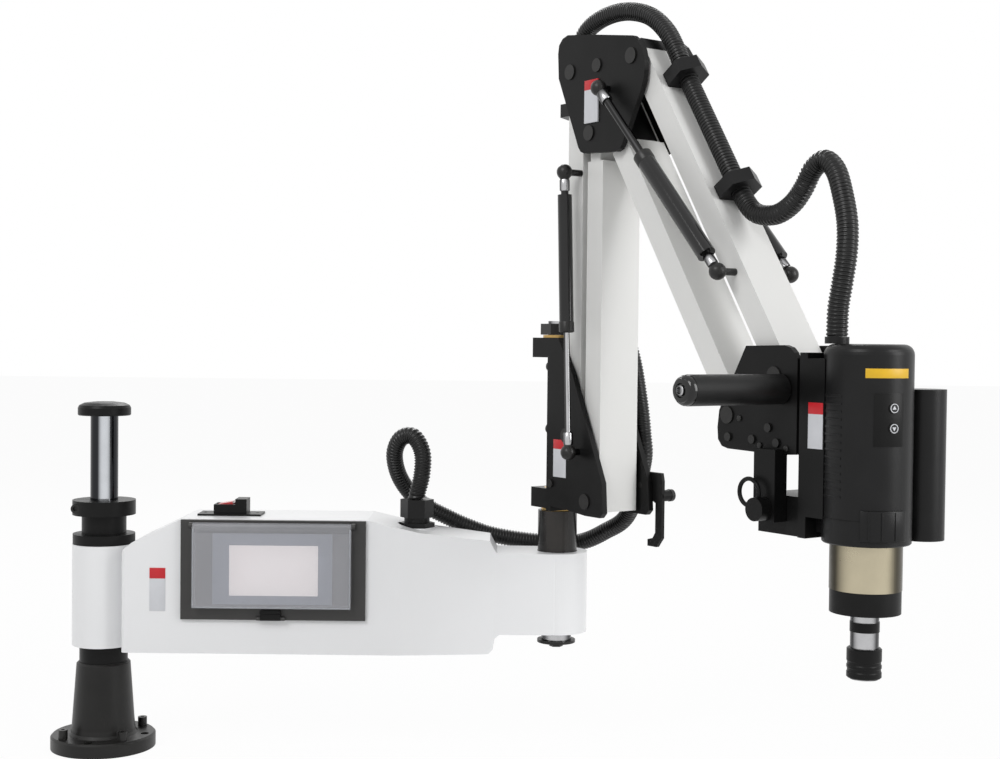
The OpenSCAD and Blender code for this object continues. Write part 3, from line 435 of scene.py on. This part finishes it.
# ------------------------------------------------------------------ gas springs and handle
# Gas springs with glossy black cylinders and bright rods, on ball sockets with turned
# ferrules, and a side handle: a ribbed rubber grip on a steel core, with a turned end.
gloss_black = finish("gloss_black", (0.005, 0.005, 0.005), 0.14, grain=(500, 0.002), spots=40, tone=0.2,
                     coat=0.2, shine=0.35)
# The rods are painted near black towards their rims: painted reflection in their colour, bright only face-on.
rod_chrome = finish("rod_chrome", (0.5, 0.5, 0.51), 0.09, metal=1, grain=(900, 0.001), spots=90, tone=0.04,
                    rough_by=0.03, painted_rim_colour=(0.03, 0.03, 0.03), painted_rim_range=(0.02, 0.25))
rubber = finish("grip_rubber", (0.007, 0.007, 0.007), 0.5, grain=(900, 0.05), spots=60, tone=0.2, shine=0.25)
dress(gloss_black, "lower_gas_cylinder", "upper_gas_cylinders")
dress(rod_chrome, "lower_gas_rod", "upper_gas_rods")
dress(steel, "handle_core", "spindle")
dress(rubber, "side_handle")
LOWER_SPRING = ((79, 337), (67, 629))
UPPER_SPRING = ((122, 709), (299.7, 518.3))
SPRING_N = 47
BALL = 8.2


def spring_ends(name, low, high, n, r, rod_r, reach, rod_body, tube_body):
    """Ferrule, ball sockets and end collar of one gas spring, from its rod's stud to its far stud."""
    up, down = slope(low, high, n), slope(high, low, n)
    wide = rod_r + 2.1
    turned(name + "_ferrule",
           [(0, 8), (rod_r + 1.6, 8), (wide, 9), (wide, 20), (rod_r + 1.4, 21), (0, 21)],
           rod_body, steel, up)
    turned(name + "_far_ferrule", [(0, 8), (4.9, 8), (5.3, 9), (5.3, 19), (4.6, 20), (0, 20)],
           tube_body, steel, down)
    bowl = [(BALL * sin(radians(t)), -BALL * cos(radians(t))) for t in range(20, 150, 15)]
    for end, place, body in (("rod_socket", up, rod_body), ("far_socket", down, tube_body)):
        turned(f"{name}_{end}", [(0, -BALL)] + bowl + [(4, 9), (0, 9)], body, oxide, place, 28)
    bore, lip, foot = rod_r + 0.3, reach + 1.5, reach - 10
    turned(name + "_collar",
           [(bore, lip), (r - 1, lip), (r + 0.5, reach + 0.5), (r + 0.5, reach - 9), (r, foot), (bore, foot),
            (bore, lip)], tube_body, oxide, down)


spring_ends("lower_spring", *LOWER_SPRING, -SPRING_N, 7.5, 3, 166, "lower_rod", "lower_cylinder")
for side, n in (("near", -SPRING_N), ("far", SPRING_N)):
    spring_ends(f"{side}_spring", *UPPER_SPRING, n, 9, 4, 158, "upper_rods", "upper_cylinders")
HANDLE = (369.7, 412.3)
GRIP_END = PLATE_FACE - 1.5 - 110
turned("handle_end",
       [(0, 0), (10, 0), (13.2, 0), (13.2, 3), (12.2, 5), (10.6, 6), (10.2, 7.2), (8, 7.6), (6.4, 7.6),
        (5.6, 6.4), (0, 6.4)], "wrist", gloss_black, to_viewer(HANDLE[0], GRIP_END, HANDLE[1]))
turned("handle_socket", [(0, 0), (4.6, 0), (4.6, 2.2), (3.6, 2.8), (3, 2.8), (2.6, 1), (0, 1)], "wrist",
       steel, to_viewer(HANDLE[0], GRIP_END - 6.4, HANDLE[1]), 24)

# ------------------------------------------------------------------ tapping head
# A moulded black motor cover on a gearbox in champagne anodised aluminium, a black flange,
# a bright spindle and a ringed quick-change sleeve. The yellow strip and the labels are
# bare, and each of the two buttons carries an arrow.
dress(moulded, "motor_cover", "connector_cover", "head_gland", "arm_gland")
dress(satin_black, "head_carrier", "swivel_flange", "gearbox_flange", "chuck_sleeve")
# The gearbox is painted darker towards its rim: painted reflection and shade in its colour.
dress(finish("champagne", (0.5, 0.445, 0.32), 0.3, metal=0.85, grain=(700, 0.002), spots=50, tone=0.04,
             painted_rim_colour=(0.06, 0.052, 0.035)), "gearbox")
dress(finish("button_rubber", (0.012, 0.012, 0.012), 0.5, shine=0.3), "button_up", "button_down")
MOTOR = SWING @ Matrix.Translation((439.7 * MM, 0, 0))
COVER_R = 38.0
BUTTON_R, BUTTON_TURN = 39.3, -16


def bent_plate(name, turn, low, high, wide, radius, thick, body, material, bevel=0.0001):
    """A plate that hugs the round cover: wide degrees round it, from low to high in millimetres."""
    deselect()
    bpy.ops.mesh.primitive_grid_add(x_subdivisions=10, y_subdivisions=1, size=1)
    ob = bpy.context.object
    r = radius * MM
    for v in ob.data.vertices:
        a = radians(turn + v.co.x * wide)
        v.co = (r * cos(a), r * sin(a), (low + (v.co.y + 0.5) * (high - low)) * MM)
    mod = ob.modifiers.new("wall", "SOLIDIFY")
    mod.thickness = thick * MM
    mod.offset = 1
    bpy.ops.object.modifier_apply(modifier="wall")
    settle(ob, name, body, material, MOTOR, bevel)


bent_plate("cover_strip", -22, 424.6, 432.6, 62, COVER_R + 0.02, 0.3, "head", label_yellow)
bent_plate("button_membrane", -21, 367, 412, 42, COVER_R + 0.02, 0.4, "head", satin_black)
bent_plate("cover_box", -26, 287, 313, 62, COVER_R, 2.2, "head", moulded, bevel=0.0006)
for i, turn in enumerate((-46, -30, -12)):
    bent_plate(f"box_rib_{i}", turn, 288, 312, 2.2, COVER_R + 2.1, 0.7, "head", moulded, bevel=0.0002)
bent_plate("cover_seam", -90, 303.6, 304.4, 70, COVER_R, 0.35, "head", satin_black, bevel=0.0001)
for i in range(14):
    low = 322 + i * 6.6
    bent_plate(f"cover_rib_{i}", -106, low, low + 2.2, 44, COVER_R, 0.5, "head", moulded, bevel=0.0002)


def arrow(name, z, up, body):
    """A raised white arrow in a raised white ring, on a button."""
    deselect()
    bpy.ops.mesh.primitive_cylinder_add(vertices=3, radius=2.1 * MM, depth=0.5 * MM)
    ob = bpy.context.object
    outwards = Matrix.Rotation(pi / 2, 4, "Y")
    spot = (MOTOR @ Matrix.Rotation(radians(BUTTON_TURN), 4, "Z")
            @ Matrix.Translation((BUTTON_R * MM, 0, z * MM)) @ outwards)
    turned(name + "_ring", [(3.3, 0), (3.9, 0), (3.9, 0.3), (3.3, 0.3), (3.3, 0)], body, label_white,
           spot, 32)
    settle(ob, name, body, label_white, spot @ Matrix.Rotation(pi / 2 if up else 3 * pi / 2, 4, "Z"))


arrow("arrow_up", 399.5, True, "button_up")
arrow("arrow_down", 382.5, False, "button_down")
label("carrier_label", (411, PLATE_FACE - 0.2), 17, 362, 392, 402, 0.5, "head", SWING)
turned("spindle_band", [(12.3, 205.2), (12.75, 205.2), (12.75, 213.8), (12.3, 213.8), (12.3, 205.2)], "spindle",
       satin_black, MOTOR, 48)

# ------------------------------------------------------------------ conduit
# A black corrugated plastic conduit from the arm's gland round the pivot, up the lower
# arm, over the elbow, down the upper arm and in an S to the head, held by hexagonal clips.
hose_black = finish("conduit_black", (0.0065, 0.0065, 0.0065), 0.32, grain=(800, 0.01), spots=60, tone=0.2,
                    shine=0.35)
dress(moulded, "lower_clip", "upper_clips")


def at(u, n, z):
    """A point of the route: u out along the swing plane, n behind it, in millimetres."""
    return (ARM_END + u * cos(TURN) + n * sin(TURN), n * cos(TURN) - u * sin(TURN), z)


LOWER = [(345, 0, 277.5), (345, 0, 283), (350, 1, 304), (350, 5, 328), (340, 11, 345), (326, 18, 343),
         (318, 26, 326), (321, 36, 303), (332, 48, 282), (349, 57.5, 265), (375, 61, 251), (400, 61, 240),
         (431, 61, 230), (480, 59, 223.5), (525, 52, 224), (555, 34, 239), (579, 12, 262), at(80, 54, 322),
         at(86, 48, 356), at(80, 46.5, 396), at(68, 46, 438), at(52, 40, 478), at(36, 31, 510), at(33, 16, 540),
         at(33, 3, 575), at(33, 0, 612), at(33, 0, 656), at(33, 0, 699.8)]
ELBOW = [at(33, 0, 700.2), at(33, 0, 708), at(31, 0, 724), at(27, 0, 746), at(30, 0, 768), at(42, 0, 784),
         at(63, 0, 792.5), at(90, 0, 795.5), at(118, 0, 792.5), at(147, 0, 782.5), at(171, 0, 764),
         at(187, 0, 741.5), at(197.3, 0, 721.7), at(200.6, 0, 716.7)]
HEAD = [at(201.2, 0, 715.8), at(212, 0, 699.3), at(244, 0, 650), at(265, 0, 617.6), at(280.5, 0, 593.8),
        at(299, 0, 575), at(325, 0, 571), at(346, 0, 579), at(360, 0, 592.5), at(371, 0, 608.5),
        at(385, 0, 615.5), at(399, -1, 605.5), at(409, -3, 585), at(418, -6, 558), at(421.5, -10, 532),
        at(420.5, -13.5, 507), at(418, -15.5, 485), at(417.5, -16, 466), at(417.5, -16, 459.1)]


def smooth(points, i, s):
    """The curve through the points, at share s of the way from point i to the next."""
    p0, p1 = Vector(points[max(i - 1, 0)]), Vector(points[i])
    p2, p3 = Vector(points[i + 1]), Vector(points[min(i + 2, len(points) - 1)])
    return 0.5 * (2 * p1 + (p2 - p0) * s + (2 * p0 - 5 * p1 + 4 * p2 - p3) * s * s
                  + (3 * p1 - p0 - 3 * p2 + p3) * s ** 3)


FINE = 24


def even_line(points, step):
    """The smooth route, as points the same distance apart."""
    dense = [smooth(points, i, k / FINE) for i in range(len(points) - 1) for k in range(FINE)]
    dense.append(Vector(points[-1]))
    run = [0.0]
    for a, b in zip(dense, dense[1:]):
        run.append(run[-1] + (b - a).length)
    count = round(run[-1] / step)
    line, j = [], 0
    for k in range(count + 1):
        d = run[-1] * k / count
        while j < len(run) - 2 and run[j + 1] < d:
            j += 1
        s = (d - run[j]) / max(run[j + 1] - run[j], 1e-9)
        line.append(dense[j].lerp(dense[j + 1], s))
    return line


RIB = [(0.0, 8.6), (0.2, 8.65), (0.32, 9.4), (0.5, 9.5), (0.68, 9.4), (0.8, 8.65)]
PITCH = 3.4
PER_RIB = 6
SIDES = 20
ANGLES = [2 * pi * k / SIDES for k in range(SIDES)]


def corrugated(points, cuts, parts):
    """Sweeps the corrugated wall along a route and cuts it in parts; a part on one body rides with it, and a
    part on two is left in place.
    """
    line = even_line(points, PITCH / PER_RIB)
    count = len(line)
    side, rings = Vector((0, 1, 0)), []
    for i, c in enumerate(line):
        t = (line[min(i + 1, count - 1)] - line[max(i - 1, 0)]).normalized()
        side = (side - t * side.dot(t)).normalized()
        up = t.cross(side)
        phase = (i / PER_RIB) % 1
        r = next(b for a, b in reversed(RIB) if phase >= a - 1e-6)
        rings.append([(c + r * (cos(a) * side + sin(a) * up)) * MM for a in ANGLES])
    stops = [0]
    for cut in cuts:
        stops.append(min(range(count), key=lambda i: (line[i] - Vector(cut)).length))
    stops.append(count - 1)
    made = []
    for (name, bodies, start, end), lo, hi in zip(parts, stops, stops[1:]):
        verts = [v for ring in rings[lo:hi + 1] for v in ring]
        faces = []
        for i in range(hi - lo):
            for k in range(SIDES):
                here, beyond, nxt = i * SIDES, (i + 1) * SIDES, (k + 1) % SIDES
                faces.append((here + k, here + nxt, beyond + nxt, beyond + k))
        faces.append(tuple(reversed(range(SIDES))))
        faces.append(tuple((hi - lo) * SIDES + k for k in range(SIDES)))
        mesh = bpy.data.meshes.new(name)
        mesh.from_pydata(verts, [], faces)
        mesh.materials.append(hose_black)
        ob = bpy.data.objects.new(name, mesh)
        scene.collection.objects.link(ob)
        pick(ob)
        bpy.ops.object.mode_set(mode="EDIT")
        bpy.ops.mesh.select_all(action="SELECT")
        bpy.ops.mesh.normals_make_consistent(inside=False)
        bpy.ops.object.mode_set(mode="OBJECT")
        bpy.ops.object.shade_smooth_by_angle(angle=radians(50))
        if len(bodies) == 1:
            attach(ob, bodies[0])
        else:
            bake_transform(ob)
        made.append(ob)
    return made


lower = corrugated(LOWER, [at(80, 46.5, 396)], [
    ("conduit_at_pivot", ("control_arm", "swing_bracket"), (400, 61, 240), at(80, 54, 322)),
    ("conduit_up_arm", ("swing_bracket", "lower_rear"), at(76, 46, 410), at(33, 0, 600))])
elbow = corrugated(ELBOW, [at(95, 0, 795.5)], [
    ("conduit_to_elbow", ("lower_rear", "elbow"), at(33, 0, 715), at(80, 0, 794)),
    ("conduit_from_elbow", ("elbow", "upper_top"), at(110, 0, 794), at(192, 0, 730))])
head = corrugated(HEAD, [at(280.5, 0, 593.8), at(371, 0, 608.5)], [
    ("conduit_on_arm", ("upper_top",), None, None),
    ("conduit_loop", ("upper_top", "wrist"), at(283, 0, 590), at(362, 0, 595)),
    ("conduit_to_head", ("wrist", "head"), at(374, 0, 611), at(418, -15.5, 485))])
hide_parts("conduit_lower")
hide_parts("conduit_elbow")
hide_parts("conduit_head")
